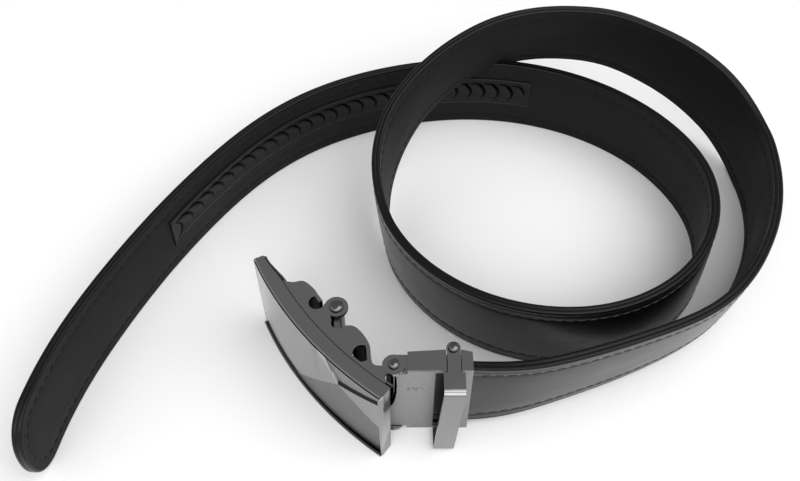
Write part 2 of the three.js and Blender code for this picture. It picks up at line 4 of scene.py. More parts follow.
import bmesh
import bpy
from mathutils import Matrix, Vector


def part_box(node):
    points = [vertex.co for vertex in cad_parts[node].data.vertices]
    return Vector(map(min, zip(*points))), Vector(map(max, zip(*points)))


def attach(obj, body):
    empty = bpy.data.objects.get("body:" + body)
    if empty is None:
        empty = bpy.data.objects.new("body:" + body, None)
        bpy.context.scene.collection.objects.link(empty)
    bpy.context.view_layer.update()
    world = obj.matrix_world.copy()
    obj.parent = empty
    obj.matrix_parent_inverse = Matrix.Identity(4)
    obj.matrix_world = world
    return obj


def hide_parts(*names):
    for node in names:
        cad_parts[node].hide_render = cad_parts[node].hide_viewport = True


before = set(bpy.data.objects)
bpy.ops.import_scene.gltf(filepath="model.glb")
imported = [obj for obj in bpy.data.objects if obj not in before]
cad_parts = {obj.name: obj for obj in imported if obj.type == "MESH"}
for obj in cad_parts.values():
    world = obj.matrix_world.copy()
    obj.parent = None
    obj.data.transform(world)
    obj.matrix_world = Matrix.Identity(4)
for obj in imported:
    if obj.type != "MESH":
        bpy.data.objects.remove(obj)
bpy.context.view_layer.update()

mm = 0.001
pinLow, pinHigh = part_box("hinge_pin")
pinX, pinY = (pinLow.x + pinHigh.x) / 2 / mm, (pinLow.y + pinHigh.y) / 2 / mm   # plan sizes start here
scene = bpy.context.scene


def hexColor(code):   # sRGB hex to linear
    parts = [int(code[i:i + 2], 16) / 255 for i in (0, 2, 4)]
    return [c / 12.92 if c <= 0.04045 else ((c + 0.055) / 1.055) ** 2.4 for c in parts] + [1]


def addNode(tree, kind, inputs=None, **settings):
    node = tree.nodes.new(kind)
    for name, value in settings.items():
        setattr(node, name, value)
    for key, value in (inputs or {}).items():
        if isinstance(value, bpy.types.NodeSocket):
            tree.links.new(value, node.inputs[key])
        else:
            node.inputs[key].default_value = value
    return node


def startMaterial(name, color, roughness, metallic=0.0, **more):
    material = bpy.data.materials.new(name)
    material.use_nodes = True
    tree = material.node_tree
    shader = tree.nodes["Principled BSDF"]
    shader.inputs["Base Color"].default_value = hexColor(color)
    shader.inputs["Roughness"].default_value = roughness
    shader.inputs["Metallic"].default_value = metallic
    for key, value in more.items():
        shader.inputs[key.replace("_", " ")].default_value = value
    return material, tree, shader


def mapRange(tree, value, low, high):
    node = addNode(tree, "ShaderNodeMapRange", {"Value": value, "To Min": low, "To Max": high})
    return node.outputs["Result"]


def makeLeather(name, finish):
    # a fine pebble, soft patches in its gloss and stretch lines along it, no colour of its own
    material, tree, shader = startMaterial(name, finish["dark"], finish["gloss"], Coat_Weight=finish["coat"],
                                           Coat_Roughness=0.2, Specular_IOR_Level=finish["specular"])
    place = addNode(tree, "ShaderNodeUVMap", uv_map="alongStrap").outputs["UV"]
    pebble = addNode(tree, "ShaderNodeTexVoronoi", {"Vector": place, "Scale": 1 / (finish["pebble"] * mm)},
                     feature="SMOOTH_F1")
    fine = addNode(tree, "ShaderNodeTexNoise", {"Vector": place, "Scale": 1 / (finish["pebble"] * mm * 0.6),
                                                "Detail": 2.0})
    patch = addNode(tree, "ShaderNodeTexNoise", {"Vector": place, "Scale": 1 / (14 * mm), "Detail": 3.0})
    stretched = addNode(tree, "ShaderNodeMapping", {"Vector": place, "Scale": (1, 6, 1)})
    crease = addNode(tree, "ShaderNodeTexNoise", {"Vector": stretched.outputs["Vector"], "Scale": 1 / (30 * mm),
                                                  "Detail": 4.0})
    roughness = addNode(tree, "ShaderNodeMath", {0: mapRange(tree, patch.outputs["Fac"], -0.08, 0.08),
                                                 1: mapRange(tree, crease.outputs["Fac"], finish["gloss"] - 0.06,
                                                             finish["gloss"] + 0.08)}, operation="ADD")
    tree.links.new(roughness.outputs[0], shader.inputs["Roughness"])
    tone = addNode(tree, "ShaderNodeMixRGB", {"Fac": patch.outputs["Fac"], "Color1": hexColor(finish["dark"]),
                                              "Color2": hexColor(finish["light"])})
    tree.links.new(tone.outputs[0], shader.inputs["Base Color"])
    height = addNode(tree, "ShaderNodeMath", {0: pebble.outputs["Distance"], 1: fine.outputs["Fac"]}, operation="ADD")
    bump = addNode(tree, "ShaderNodeBump", {"Height": height.outputs[0], "Strength": finish["grain"],
                                            "Distance": 0.05 * mm})
    tree.links.new(bump.outputs["Normal"], shader.inputs["Normal"])
    return material


def makeEdgePaint():
    # Edge paint over the cut layers: glossy, with faint ripples from the brush
    material, tree, shader = startMaterial("edgePaint", "08080a", 0.34, Specular_IOR_Level=0.2)
    place = addNode(tree, "ShaderNodeUVMap", uv_map="alongStrap").outputs["UV"]
    ripple = addNode(tree, "ShaderNodeTexNoise", {"Vector": place, "Scale": 1 / (2.5 * mm), "Detail": 2.0})
    bump = addNode(tree, "ShaderNodeBump", {"Height": ripple.outputs["Fac"], "Strength": 0.3, "Distance": 0.08 * mm})
    tree.links.new(bump.outputs["Normal"], shader.inputs["Normal"])
    return material


def makeThread(name, color, roughness, specular):
    # Waxed polyester thread: black, catching light along its twist
    material, tree, shader = startMaterial(name, color, roughness, Specular_IOR_Level=specular)
    place = addNode(tree, "ShaderNodeTexCoord").outputs["Object"]
    twist = addNode(tree, "ShaderNodeTexNoise", {"Vector": place, "Scale": 1 / (0.35 * mm), "Detail": 1.0})
    bump = addNode(tree, "ShaderNodeBump", {"Height": twist.outputs["Fac"], "Strength": 0.4, "Distance": 0.1 * mm})
    tree.links.new(bump.outputs["Normal"], shader.inputs["Normal"])
    return material


def makeNylon(name, color, specular):
    # Injection moulded nylon: near black, a soft gloss with a faint orange peel
    material, tree, shader = startMaterial(name, color, 0.33, Specular_IOR_Level=specular)
    place = addNode(tree, "ShaderNodeTexCoord").outputs["Object"]
    peel = addNode(tree, "ShaderNodeTexNoise", {"Vector": place, "Scale": 1 / (1.2 * mm), "Detail": 2.0})
    tree.links.new(mapRange(tree, peel.outputs["Fac"], 0.34, 0.5), shader.inputs["Roughness"])
    bump = addNode(tree, "ShaderNodeBump", {"Height": peel.outputs["Fac"], "Strength": 0.15, "Distance": 0.1 * mm})
    tree.links.new(bump.outputs["Normal"], shader.inputs["Normal"])
    return material


def makePolished(name, color, low, high):
    # Zinc alloy, polished and plated: sharp reflections, clouded a little by handling
    material, tree, shader = startMaterial(name, color, low, 1.0)
    place = addNode(tree, "ShaderNodeTexCoord").outputs["Object"]
    cloud = addNode(tree, "ShaderNodeTexNoise", {"Vector": place, "Scale": 1 / (7 * mm), "Detail": 4.0})
    tree.links.new(mapRange(tree, cloud.outputs["Fac"], low, high), shader.inputs["Roughness"])
    wave = addNode(tree, "ShaderNodeTexNoise", {"Vector": place, "Scale": 1 / (4 * mm)})
    bump = addNode(tree, "ShaderNodeBump", {"Height": wave.outputs["Fac"], "Strength": 0.06, "Distance": 0.3 * mm})
    tree.links.new(bump.outputs["Normal"], shader.inputs["Normal"])
    return material


def makeBrushed():
    # The same plating, brushed across the plate: streaks along Z, drawn 0.35 mm apart so that they show
    material, tree, shader = startMaterial("brushedNickel", "6f6f70", 0.34, 1.0)
    place = addNode(tree, "ShaderNodeTexCoord").outputs["Object"]
    across = addNode(tree, "ShaderNodeMapping", {"Vector": place, "Scale": (1, 1, 0.04)})
    streak = addNode(tree, "ShaderNodeTexNoise", {"Vector": across.outputs["Vector"], "Scale": 1 / (0.35 * mm),
                                                  "Detail": 3.0, "Roughness": 0.7})
    tree.links.new(mapRange(tree, streak.outputs["Fac"], 0.24, 0.5), shader.inputs["Roughness"])
    bump = addNode(tree, "ShaderNodeBump", {"Height": streak.outputs["Fac"], "Strength": 0.8, "Distance": 0.08 * mm})
    tree.links.new(bump.outputs["Normal"], shader.inputs["Normal"])
    return material


def makeCast():
    # Cast and only tumbled: a fine sandy grain under the same plating
    material, tree, shader = startMaterial("tumbledCasting", "959596", 0.45, 1.0)
    place = addNode(tree, "ShaderNodeTexCoord").outputs["Object"]
    sand = addNode(tree, "ShaderNodeTexNoise", {"Vector": place, "Scale": 1 / (0.9 * mm), "Detail": 5.0})
    tree.links.new(mapRange(tree, sand.outputs["Fac"], 0.3, 0.6), shader.inputs["Roughness"])
    bump = addNode(tree, "ShaderNodeBump", {"Height": sand.outputs["Fac"], "Strength": 0.8, "Distance": 0.16 * mm})
    tree.links.new(bump.outputs["Normal"], shader.inputs["Normal"])
    return material


# the outer face is full grain cowhide under a satin coat, the lining a duller split
leather = makeLeather("satinCowhide", {"dark": "050506", "light": "0b0b0c", "gloss": 0.32, "coat": 0.16,
                                       "specular": 0.44, "pebble": 0.9, "grain": 0.25})
lining = makeLeather("splitLining", {"dark": "0b0b0c", "light": "141415", "gloss": 0.6, "coat": 0.0,
                                     "specular": 0.16, "pebble": 1.1, "grain": 0.5})
edgePaint = makeEdgePaint()
thread = makeThread("waxedThread", "161618", 0.36, 0.45)
liningThread = makeThread("dullThread", "0c0c0d", 0.6, 0.15)
nylon = makeNylon("mouldedNylon", "0b0b0c", 0.2)
# painted shade: a black, glossless nylon for the valleys between the teeth
shadedNylon = makeNylon("paintedShadeNylon", "020202", 0.04)   # the valleys between the teeth
polished = makePolished("polishedNickel", "8c8c8d", 0.1, 0.2)
# a rougher satin finish for the pawl and the sunk corner, also the half-dark step of painted shade across the bead's
# crease
satinHalfShade = makePolished("satinHalfShadeNickel", "7d7e81", 0.22, 0.34)
# painted highlight: a bright nickel on the sunk corner's side slope, standing in for the light that its chamfer
# catches
paintedHighlight = makePolished("paintedHighlightNickel", "b4b5b8", 0.08, 0.16)
# painted shade: a near black nickel in the seams, the bead's crease, the lower slope, the channel's inside and at the
# knuckle
shaded = makePolished("shadedNickel", "29292a", 0.34, 0.46)
# a darker steel, darker still so that the rivet shafts under the ears read as in shade: partly painted shade
rivetSteel = makePolished("polishedSteel", "6a6a6b", 0.08, 0.16)
brushed = makeBrushed()
cast = makeCast()
print("materials made")

strap = {
    "length": 1005, "width": 35, "thickness": 3.4, "edgeRound": 0.8, "startX": 5.0, "startY": 1.0,
    "seat": 2.1, "held": 20.9, "down": 130,
    "tipLength": 15, "tipRoundness": 2.3, "station": 2.5,
    "crease": 1.9, "creaseDepth": 0.09, "creaseWidth": 0.28, "stitchInset": 4.5, "grooveDepth": 0.2,
    "grooveWidth": 0.5, "dome": 0.35, "domeStart": 0.7, "liningRelief": 0.4, "seamHeight": 0.22, "seamDepth": 0.14,
    "tipStep": 6, "sharpAngle": 50,
}

# share of the length, heading in degrees, lift as a share of the width, lean outward in degrees
route = [
    (0.0, 0, 0, 0), (0.02, 0, 0, 0), (0.045, 17, 0.08, 6), (0.075, 24, 0.08, 9), (0.105, 32, 0.05, 11),
    (0.145, 56, 0, 4.5), (0.185, 82, 0, 1), (0.205, 97, 0, 1.5), (0.235, 130, 0.26, -3), (0.265, 159, 0.56, -12),
    (0.285, 173, 0.75, -16.5), (0.305, 186, 0.85, -18.5), (0.325, 197, 0.9, -18.5), (0.345, 209, 0.87, -16),
    (0.365, 223, 0.74, -11), (0.405, 256, 0.33, 3.5), (0.445, 292, 0, 6), (0.525, 362, 0, 2), (0.605, 438, 0, -3),
    (0.628, 463, 0, -3), (0.668, 495, 0, -4), (0.728, 532, 0, -3), (0.808, 569, 0, -3), (0.855, 592, 0, -3.5),
    (0.905, 603, 0, -3), (0.955, 612, 0, -2), (1.0, 628, 0, -2.5),
]


def read(column, at):   # a smooth value from the route, at a share of the strap's length
    last = len(route) - 1
    i = 0
    while i < last - 1 and route[i + 1][0] < at:
        i += 1

    def slope(k):
        return (route[k + 1][column] - route[k][column]) / (route[k + 1][0] - route[k][0])

    def tangent(k):
        if k == 0:
            return 0
        if k == last:
            return slope(last - 1)
        before, after = route[k][0] - route[k - 1][0], route[k + 1][0] - route[k][0]
        return (slope(k - 1) * after + slope(k) * before) / (before + after)

    span = route[i + 1][0] - route[i][0]
    t = (at - route[i][0]) / span
    blend = 3 * t ** 2 - 2 * t ** 3
    level = (1 - blend) * route[i][column] + blend * route[i + 1][column]
    return level + (t ** 3 - 2 * t ** 2 + t) * span * tangent(i) + (t ** 3 - t ** 2) * span * tangent(i + 1)


def followRoute():   # x, y, heading, lift and lean at each millimetre
    steps = round(strap["length"])
    x, y = pinX + strap["startX"], pinY + strap["startY"]
    places = []
    for i in range(steps + 1):
        at = i / steps
        share = min(max((i - strap["held"]) / (strap["down"] - strap["held"]), 0), 1)
        lift = max(0, read(2, at)) * strap["width"] + strap["seat"] * (1 - share ** 2 * (3 - 2 * share))
        places.append((x, y, math.radians(read(1, at)), lift, math.radians(read(3, at))))
        heading = math.radians(read(1, min(1, (i + 0.5) / steps)))
        x += math.cos(heading)
        y += math.sin(heading)
    return places


routePlaces = followRoute()


def onStrap(length, up, out):   # millimetres along, up the face and outward from the middle, to a place in metres
    place = min(max(length, 0), strap["length"])
    i = min(int(place), len(routePlaces) - 2)
    share = place - i
    x, y, heading, lift, lean = [a + (b - a) * share for a, b in zip(routePlaces[i], routePlaces[i + 1])]
    sideways = up * math.sin(lean) + out * math.cos(lean)
    base = lift + abs(math.sin(lean)) * strap["thickness"] / 2
    return Vector((x + math.sin(heading) * sideways, y - math.cos(heading) * sideways,
                   base + up * math.cos(lean) - out * math.sin(lean))) * mm


def meshPiece(name, places, faces, materials):
    mesh = bpy.data.meshes.new(name)
    mesh.from_pydata(places, [], faces)
    for material in materials:
        mesh.materials.append(material)
    piece = bpy.data.objects.new(name, mesh)
    scene.collection.objects.link(piece)
    return piece


def setSlots(piece, slots):
    for face, slot in zip(piece.data.polygons, slots):
        face.material_index = slot


def tidyMesh(piece, sharpAngle):   # merged, turned outwards and smooth, apart from its sharp edges
    work = bmesh.new()
    work.from_mesh(piece.data)
    bmesh.ops.remove_doubles(work, verts=work.verts, dist=0.002 * mm)
    bmesh.ops.recalc_face_normals(work, faces=work.faces)
    work.to_mesh(piece.data)
    work.free()
    piece.data.shade_smooth()
    piece.data.set_sharp_from_angle(angle=math.radians(sharpAngle))


def faceHeight(depth, relief=1.0):   # how far a face stands out of the middle, at a distance in from the strap's edge
    half, inset = strap["thickness"] / 2, strap["stitchInset"]
    if depth < strap["edgeRound"]:
        fall = 1 - depth / strap["edgeRound"]
        return half - strap["edgeRound"] * (1 - math.sqrt(max(0, 1 - fall ** 2)))
    height = half - strap["creaseDepth"] * relief * math.exp(-((depth - strap["crease"]) / strap["creaseWidth"]) ** 2)
    height -= strap["grooveDepth"] * relief * math.exp(-((depth - inset) / strap["grooveWidth"]) ** 2)
    domeStart = inset + strap["domeStart"]
    crown = max(0, depth - domeStart) / (strap["width"] / 2 - domeStart)
    return height + strap["dome"] * (1 - (1 - crown) ** 3)


def strapProfile():   # from the middle of the outer face, round the edge, to the middle of the inner face
    depths = [17.5, 14.5, 11.5, 9.2, 7.6, 6.5, 5.8, 5.2, 4.85, 4.5, 4.15, 3.7, 3.0, 2.5, 2.15, 1.9, 1.65, 1.3, 0.8,
              0.5, 0.25, 0.08]
    depths = [d if d < 8 else d * strap["width"] / 35 for d in depths]
    outer = [(d, faceHeight(d)) for d in depths]
    rim = strap["thickness"] / 2 - strap["edgeRound"]
    high, deep = strap["seamHeight"], strap["seamDepth"]
    seam = [(0, rim), (0, high), (deep, 0), (0, -high), (0, -rim)]   # the line where the two layers meet
    return outer + seam + [(d, -faceHeight(d, strap["liningRelief"])) for d in reversed(depths)]


def makeStrap():
    profile = strapProfile()
    width, tip = strap["width"], strap["tipLength"]
    plain = strap["length"] - tip
    points, places, marks = len(profile), [], []

    def add(length, up, out):
        marks.append((length * mm, up * mm))
        places.append(onStrap(length, up, out))

    count = math.ceil(plain / strap["station"])
    for i in range(count + 1):   # each station goes down the upper half and back along the lower one
        for depth, out in profile:
            add(plain * i / count, width - depth, out)
        for depth, out in profile:
            add(plain * i / count, depth, out)
    fan = []
    for turn in range(0, 181, strap["tipStep"]):
        share = math.sin(math.radians(turn))
        reach = (1 - share ** strap["tipRoundness"]) ** (1 / strap["tipRoundness"]) if share < 1 else 0
        fan.append(len(places))
        for depth, out in profile:
            keep = 1 - depth / (width / 2)
            side = 1 if turn <= 90 else -1
            add(plain + tip * keep * share, width / 2 * (1 + keep * reach * side), out)
    faces = []
    for i in range(count):
        for half in (0, points):
            a, b = 2 * points * i + half, 2 * points * (i + 1) + half
            for j in range(points - 1):
                faces.append((a + j, a + j + 1, b + j + 1, b + j))
    for a, b in zip(fan, fan[1:]):
        for j in range(points - 1):
            faces.append((a + j, a + j + 1, b + j + 1, b + j))
    faces.append(list(range(points)) + list(range(2 * points - 1, points - 1, -1)))   # the end inside the clamp
    piece = meshPiece("stitched_strap", places, faces, [leather, edgePaint, lining])
    layer = piece.data.uv_layers.new(name="alongStrap")
    for loop in piece.data.loops:
        layer.data[loop.index].uv = marks[loop.vertex_index]
    edge = {j for j, (depth, out) in enumerate(profile) if depth < strap["edgeRound"] + 0.1}
    for face in piece.data.polygons[:-1]:
        where = [v % points if v < fan[0] else (v - fan[0]) % points for v in face.vertices]
        face.material_index = 1 if all(j in edge for j in where) else 2 if min(where) >= points // 2 else 0
    tidyMesh(piece, strap["sharpAngle"])
    return piece


stitch = {"pitch": 4.0, "length": 3.1, "radius": 0.36, "start": 25.5, "sink": 0.14, "liningSink": 0.26,
          "segments": 8, "rings": 6}


def stitchPath(side):   # along the upper edge, round the tip and back, at the bottom of the groove
    width, tip, inset = strap["width"], strap["tipLength"], strap["stitchInset"]
    plain = strap["length"] - tip
    keep = 1 - inset / (width / 2)
    run = [(length, width - inset) for length in range(int(stitch["start"]), int(plain), 2)]
    for turn in range(0, 181, strap["tipStep"]):
        share = math.sin(math.radians(turn))
        reach = max(0, 1 - share ** strap["tipRoundness"]) ** (1 / strap["tipRoundness"])
        run.append((plain + tip * keep * share, width / 2 * (1 + keep * reach * (1 if turn <= 90 else -1))))
    run += [(length, inset) for length in reversed(range(int(stitch["start"]), int(plain), 2))]
    sink = stitch["sink"] if side > 0 else stitch["liningSink"]
    out = (faceHeight(inset, 1 if side > 0 else strap["liningRelief"]) + stitch["radius"] / 2 - sink) * side
    return [onStrap(length, up, out) for length, up in run], [
        (onStrap(length, up, side) - onStrap(length, up, 0)).normalized() for length, up in run]


def stitchTree(material):
    tree = bpy.data.node_groups.new("runOfStitches", "GeometryNodeTree")
    tree.interface.new_socket("Geometry", in_out="INPUT", socket_type="NodeSocketGeometry")
    sockets = {}
    for name, value in (("Pitch", stitch["pitch"]), ("Length", stitch["length"]), ("Radius", stitch["radius"])):
        socket = tree.interface.new_socket(name, in_out="INPUT", socket_type="NodeSocketFloat")
        socket.default_value = value * mm
        sockets[name] = socket.identifier
    tree.interface.new_socket("Geometry", in_out="OUTPUT", socket_type="NodeSocketGeometry")
    given = addNode(tree, "NodeGroupInput").outputs
    curve = addNode(tree, "GeometryNodeMeshToCurve", {0: given["Geometry"]})
    spaced = addNode(tree, "GeometryNodeResampleCurve", {"Curve": curve.outputs[0], "Length": given["Pitch"]},
                     mode="LENGTH")
    tangent = addNode(tree, "GeometryNodeInputTangent")
    along = addNode(tree, "FunctionNodeAlignRotationToVector", {"Vector": tangent.outputs[0]}, axis="Z")
    outward = addNode(tree, "GeometryNodeInputNamedAttribute", {"Name": "outward"}, data_type="FLOAT_VECTOR")
    turned = addNode(tree, "FunctionNodeAlignRotationToVector",
                     {"Rotation": along.outputs[0], "Vector": outward.outputs[0]}, axis="X", pivot_axis="Z")
    ball = addNode(tree, "GeometryNodeMeshUVSphere",
                   {"Segments": stitch["segments"], "Rings": stitch["rings"], "Radius": 1.0})
    half = addNode(tree, "ShaderNodeMath", {0: given["Length"], 1: 0.5}, operation="MULTIPLY")
    size = addNode(tree, "ShaderNodeCombineXYZ", {"X": given["Radius"], "Y": given["Radius"], "Z": half.outputs[0]})
    shape = addNode(tree, "GeometryNodeTransform", {"Geometry": ball.outputs[0], "Scale": size.outputs[0]})
    copies = addNode(tree, "GeometryNodeInstanceOnPoints",
                     {"Points": spaced.outputs[0], "Instance": shape.outputs[0], "Rotation": turned.outputs[0]})
    real = addNode(tree, "GeometryNodeRealizeInstances", {0: copies.outputs[0]})
    smooth = addNode(tree, "GeometryNodeSetShadeSmooth", {"Geometry": real.outputs[0]})
    dressed = addNode(tree, "GeometryNodeSetMaterial", {"Geometry": smooth.outputs[0], "Material": material})
    addNode(tree, "NodeGroupOutput", {0: dressed.outputs[0]})
    return tree, sockets


def applied(piece, name):   # the evaluated object as a plain mesh of its own
    bpy.context.view_layer.update()
    graph = bpy.context.evaluated_depsgraph_get()
    mesh = bpy.data.meshes.new_from_object(piece.evaluated_get(graph))
    bpy.data.objects.remove(piece)
    mesh.name = name
    made = bpy.data.objects.new(name, mesh)
    scene.collection.objects.link(made)
    return made


def makeStitches(name, side, material):
    places, normals = stitchPath(side)
    piece = meshPiece(name + "_path", places, [], [])
    work = bmesh.new()
    work.from_mesh(piece.data)
    work.verts.ensure_lookup_table()
    for a, b in zip(list(work.verts), list(work.verts)[1:]):
        work.edges.new((a, b))
    work.to_mesh(piece.data)
    work.free()
    outward = piece.data.attributes.new("outward", "FLOAT_VECTOR", "POINT")
    for i, normal in enumerate(normals):
        outward.data[i].vector = normal
    tree, sockets = stitchTree(material)
    modifier = piece.modifiers.new("stitches", "NODES")
    modifier.node_group = tree
    modifier[sockets["Pitch"]] = stitch["pitch"] * mm
    modifier[sockets["Length"]] = stitch["length"] * mm
    modifier[sockets["Radius"]] = stitch["radius"] * mm
    return applied(piece, name)


strapBody = makeStrap()
outerStitches = makeStitches("outer_stitches", 1, thread)
innerStitches = makeStitches("inner_stitches", -1, liningThread)
print("strap and stitches made:", len(strapBody.data.polygons), "faces and", len(outerStitches.data.polygons) * 2)

track = {
    "start": 719.5, "length": 185, "width": 14.5, "rise": 1.8, "border": 1.1, "borderHeight": 0.62, "pitch": 6.35,
    "toothHeight": 1.5, "root": 0.4, "toothWidth": 9.2, "arc": 2.8, "valley": 0.2, "plainEnd": 2.6, "seat": 0.3,
    "bevel": 0.3, "firstTooth": 1.2, "steep": 0.12, "crestWidth": 0.7, "across": 12, "foot": 0.02, "heel": 0.05,
}


def makeTrack():
    # a border round a field of scales: each tooth's high edge bows towards the buckle end
    low, half = -strap["thickness"] / 2 - track["seat"], track["width"] / 2
    middle = strap["width"] / 2 + track["rise"]
    places, faces = [], []

    def add(along, up, height):
        places.append(onStrap(track["start"] + along, middle + up, low - height))
        return len(places) - 1

    def stripAlong(section, start, end, step=2.0):   # a closed section swept along the strap
        count = max(1, math.ceil((end - start) / step))
        rings = [[add(start + (end - start) * i / count, up, height) for up, height in section]
                 for i in range(count + 1)]
        for a, b in zip(rings, rings[1:]):
            for j in range(len(section)):
                k = (j + 1) % len(section)
                faces.append((a[j], a[k], b[k], b[j]))
        faces.append(rings[0][::-1])
        faces.append(rings[-1])

    def ridge(near, far, height):
        bevel = track["bevel"]
        return [(near, 0), (near, height - bevel), (near + bevel, height), (far - bevel, height),
                (far, height - bevel), (far, 0)]

    length, border, high = track["length"], track["border"], track["borderHeight"]
    stripAlong(ridge(-half, -half + border, high), 0, length)
    stripAlong(ridge(half - border, half, high), 0, length)
    stripAlong([(-half + border, 0), (-half + border, track["root"]), (half - border, track["root"]),
                (half - border, 0)], 0, length)
    for start, end in ((0, border), (length - border, length)):
        stripAlong(ridge(-half + border, half - border, high), start, end)
    teeth = int((length - 2 * border - track["plainEnd"]) / track["pitch"])
    across, dark = track["across"], []
    for i in range(teeth):
        base = border + track["firstTooth"] + i * track["pitch"]
        rows = [[], [], [], [], []]
        for k in range(across + 1):
            up = track["toothWidth"] * (k / across - 0.5)
            bow = base + track["arc"] * (2 * up / track["toothWidth"]) ** 2
            edge = 1 - (2 * abs(up) / track["toothWidth"]) ** 6 * 0.5
            crest = track["root"] + (track["toothHeight"] - track["root"]) * edge
            foot = track["root"] + track["foot"]
            rows[0].append(add(bow, up, foot))
            rows[1].append(add(bow + track["steep"], up, crest))
            rows[2].append(add(bow + track["crestWidth"], up, crest))
            rows[3].append(add(bow + track["pitch"] * (1 - track["valley"]), up, foot + track["heel"]))
            rows[4].append(add(bow + track["pitch"], up, foot))
        for j, (a, b) in enumerate(zip(rows, rows[1:])):
            for k in range(across):
                # painted shade on the steep face and in the valley
                if j in (0, 3):   # the steep face and the valley
                    dark.append(len(faces))
                faces.append((a[k], a[k + 1], b[k + 1], b[k]))
    piece = meshPiece("moulded_rack", places, faces, [nylon, shadedNylon])
    for i in dark:
        piece.data.polygons[i].material_index = 1
    tidyMesh(piece, 35)
    return piece


rack = makeTrack()
print("rack made:", len(rack.data.polygons), "faces")

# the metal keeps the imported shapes, as merged copies with softened edges
metal = {"bevel": 0.3, "segments": 2, "bevelAngle": 26, "smoothAngle": 38, "smallest": 0.03}


def dressedCopy(node, name, materials, bevel=None, plain=False, flatten=0.4):
    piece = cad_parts[node].copy()
    piece.data = piece.data.copy()
    piece.name = piece.data.name = name
    piece.parent = None
    for key in list(piece.keys()):
        del piece[key]
    scene.collection.objects.link(piece)
    piece.data.materials.clear()
    for material in materials:
        piece.data.materials.append(material)
    work = bmesh.new()
    work.from_mesh(piece.data)
    bmesh.ops.remove_doubles(work, verts=work.verts, dist=metal["smallest"] * mm)
    bmesh.ops.dissolve_limit(work, angle_limit=math.radians(flatten), verts=work.verts, edges=work.edges)
    if plain:
        bmesh.ops.triangulate(work, faces=[f for f in work.faces if len(f.verts) > 4])
    weight = work.edges.layers.float.new("bevel_weight_edge")
    for edge in work.edges:
        turned = len(edge.link_faces) == 2 and edge.calc_face_angle(0) > math.radians(metal["bevelAngle"])
        level = any(abs(face.normal.z) > 0.9 for face in edge.link_faces)
        if turned and (level or not plain):
            edge[weight] = 1
    work.to_mesh(piece.data)
    work.free()
    piece.data.shade_smooth()
    piece.data.set_sharp_from_angle(angle=math.radians(metal["smoothAngle"]))
    soft = piece.modifiers.new("softEdges", "BEVEL")
    soft.width = (bevel or metal["bevel"]) * mm
    soft.segments = metal["segments"]
    soft.limit_method = "WEIGHT"
    soft.harden_normals = True
    soft.use_clamp_overlap = True
    return piece


buckle = {
    "length": 71.3, "bow": 4.6, "turn": 129.4, "hingeAlong": 7.65, "hingeDepth": 11.3, "height": 39, "rim": 1.0,
    "plateStart": 1.3, "facetDepth": 1.2, "lipRun": 1.15, "lipDepth": 5.4, "tuckRun": 0.5, "tuckFront": 0.5,
    "tuckBack": 4.4, "tuckLow": 0.5, "tuckHigh": 38.6, "insideFrom": 2.6, "insideEnds": 0.02,
}
bowRadius = (buckle["length"] ** 2 / 4 + buckle["bow"] ** 2) / (2 * buckle["bow"])
bowAngle = math.asin(buckle["length"] / 2 / bowRadius)

# corners of each facet: along and up as shares of the plate's length and height
facets = {
    "polished": [(0.65, 0), (1, 0), (1, 1), (0.385, 1), (0.25, 0.72)],
    "brushed": [(0, 0), (0.65, 0), (0.25, 0.72), (0, 0.47)],
    "wedge": [(0, 0.47), (0.25, 0.72), (0, 0.88)],
    "lowerSlope": [(0, 0.88), (0.25, 0.72), (0.258, 0.755), (0, 0.915)],
    "sideSlope": [(0.25, 0.72), (0.385, 1), (0.37, 1), (0.258, 0.755)],
    "corner": [(0, 0.915), (0.258, 0.755), (0.37, 1), (0, 1)],
}


def inBuckle(place):   # a place in metres to millimetres along the bowed face, and its depth behind the face
    turn = math.radians(buckle["turn"])
    x, y = place.x / mm - pinX, place.y / mm - pinY
    along = math.cos(turn) * x + math.sin(turn) * y + buckle["hingeAlong"]
    depth = -(-math.sin(turn) * x + math.cos(turn) * y) + buckle["hingeDepth"]
    fromCentre = Vector((along - buckle["length"] / 2, bowRadius - buckle["bow"] - depth))
    run = (math.asin(fromCentre.x / fromCentre.length) / bowAngle / 2 + 0.5) * buckle["length"]
    return run, bowRadius - fromCentre.length


def onPlate(place):   # a place in metres to shares along and up the face plate, and its depth behind the face
    run, depth = inBuckle(place)
    share = (run - buckle["plateStart"]) / (buckle["length"] - 2 * buckle["plateStart"])
    up = (place.z / mm - buckle["rim"] / 2) / (buckle["height"] - buckle["rim"])
    return share, up, depth


def insideOf(corners, x, y):
    sides = [(bx - ax) * (y - ay) - (by - ay) * (x - ax)
             for (ax, ay), (bx, by) in zip(corners, corners[1:] + corners[:1])]
    return all(s >= -1e-6 for s in sides) or all(s <= 1e-6 for s in sides)


# the materials that meet here include painted highlight and painted shade as well as finishes
def markSeams(piece):   # sharp where two finishes meet
    work = bmesh.new()
    work.from_mesh(piece.data)
    for edge in work.edges:
        if len({face.material_index for face in edge.link_faces}) > 1:
            edge.smooth = False
    work.to_mesh(piece.data)
    work.free()


def makeFacePlate():
    finishesAndPaintedLight = [polished, brushed, satinHalfShade, paintedHighlight, shaded]
    piece = dressedCopy("face_plate", "facetted_plate", finishesAndPaintedLight, 0.15, flatten=0.001)
    # the side slope is a painted highlight, the lower slope painted shade
    slots = {"polished": 0, "brushed": 1, "wedge": 0, "lowerSlope": 4, "sideSlope": 3, "corner": 2}
    turn = math.radians(buckle["turn"])
    outward = Vector((-math.sin(turn), math.cos(turn), 0))
    for face in piece.data.polygons:
        share, up, depth = onPlate(face.center)
        facing = face.normal.dot(outward)
        face.material_index = 0
        if abs(facing) > 0.5 and depth < buckle["facetDepth"]:
            face.material_index = next((slots[name] for name, corners in facets.items()
                                        if insideOf(corners, share, up)), 0)
    markSeams(piece)
    return piece


plate = makeFacePlate()

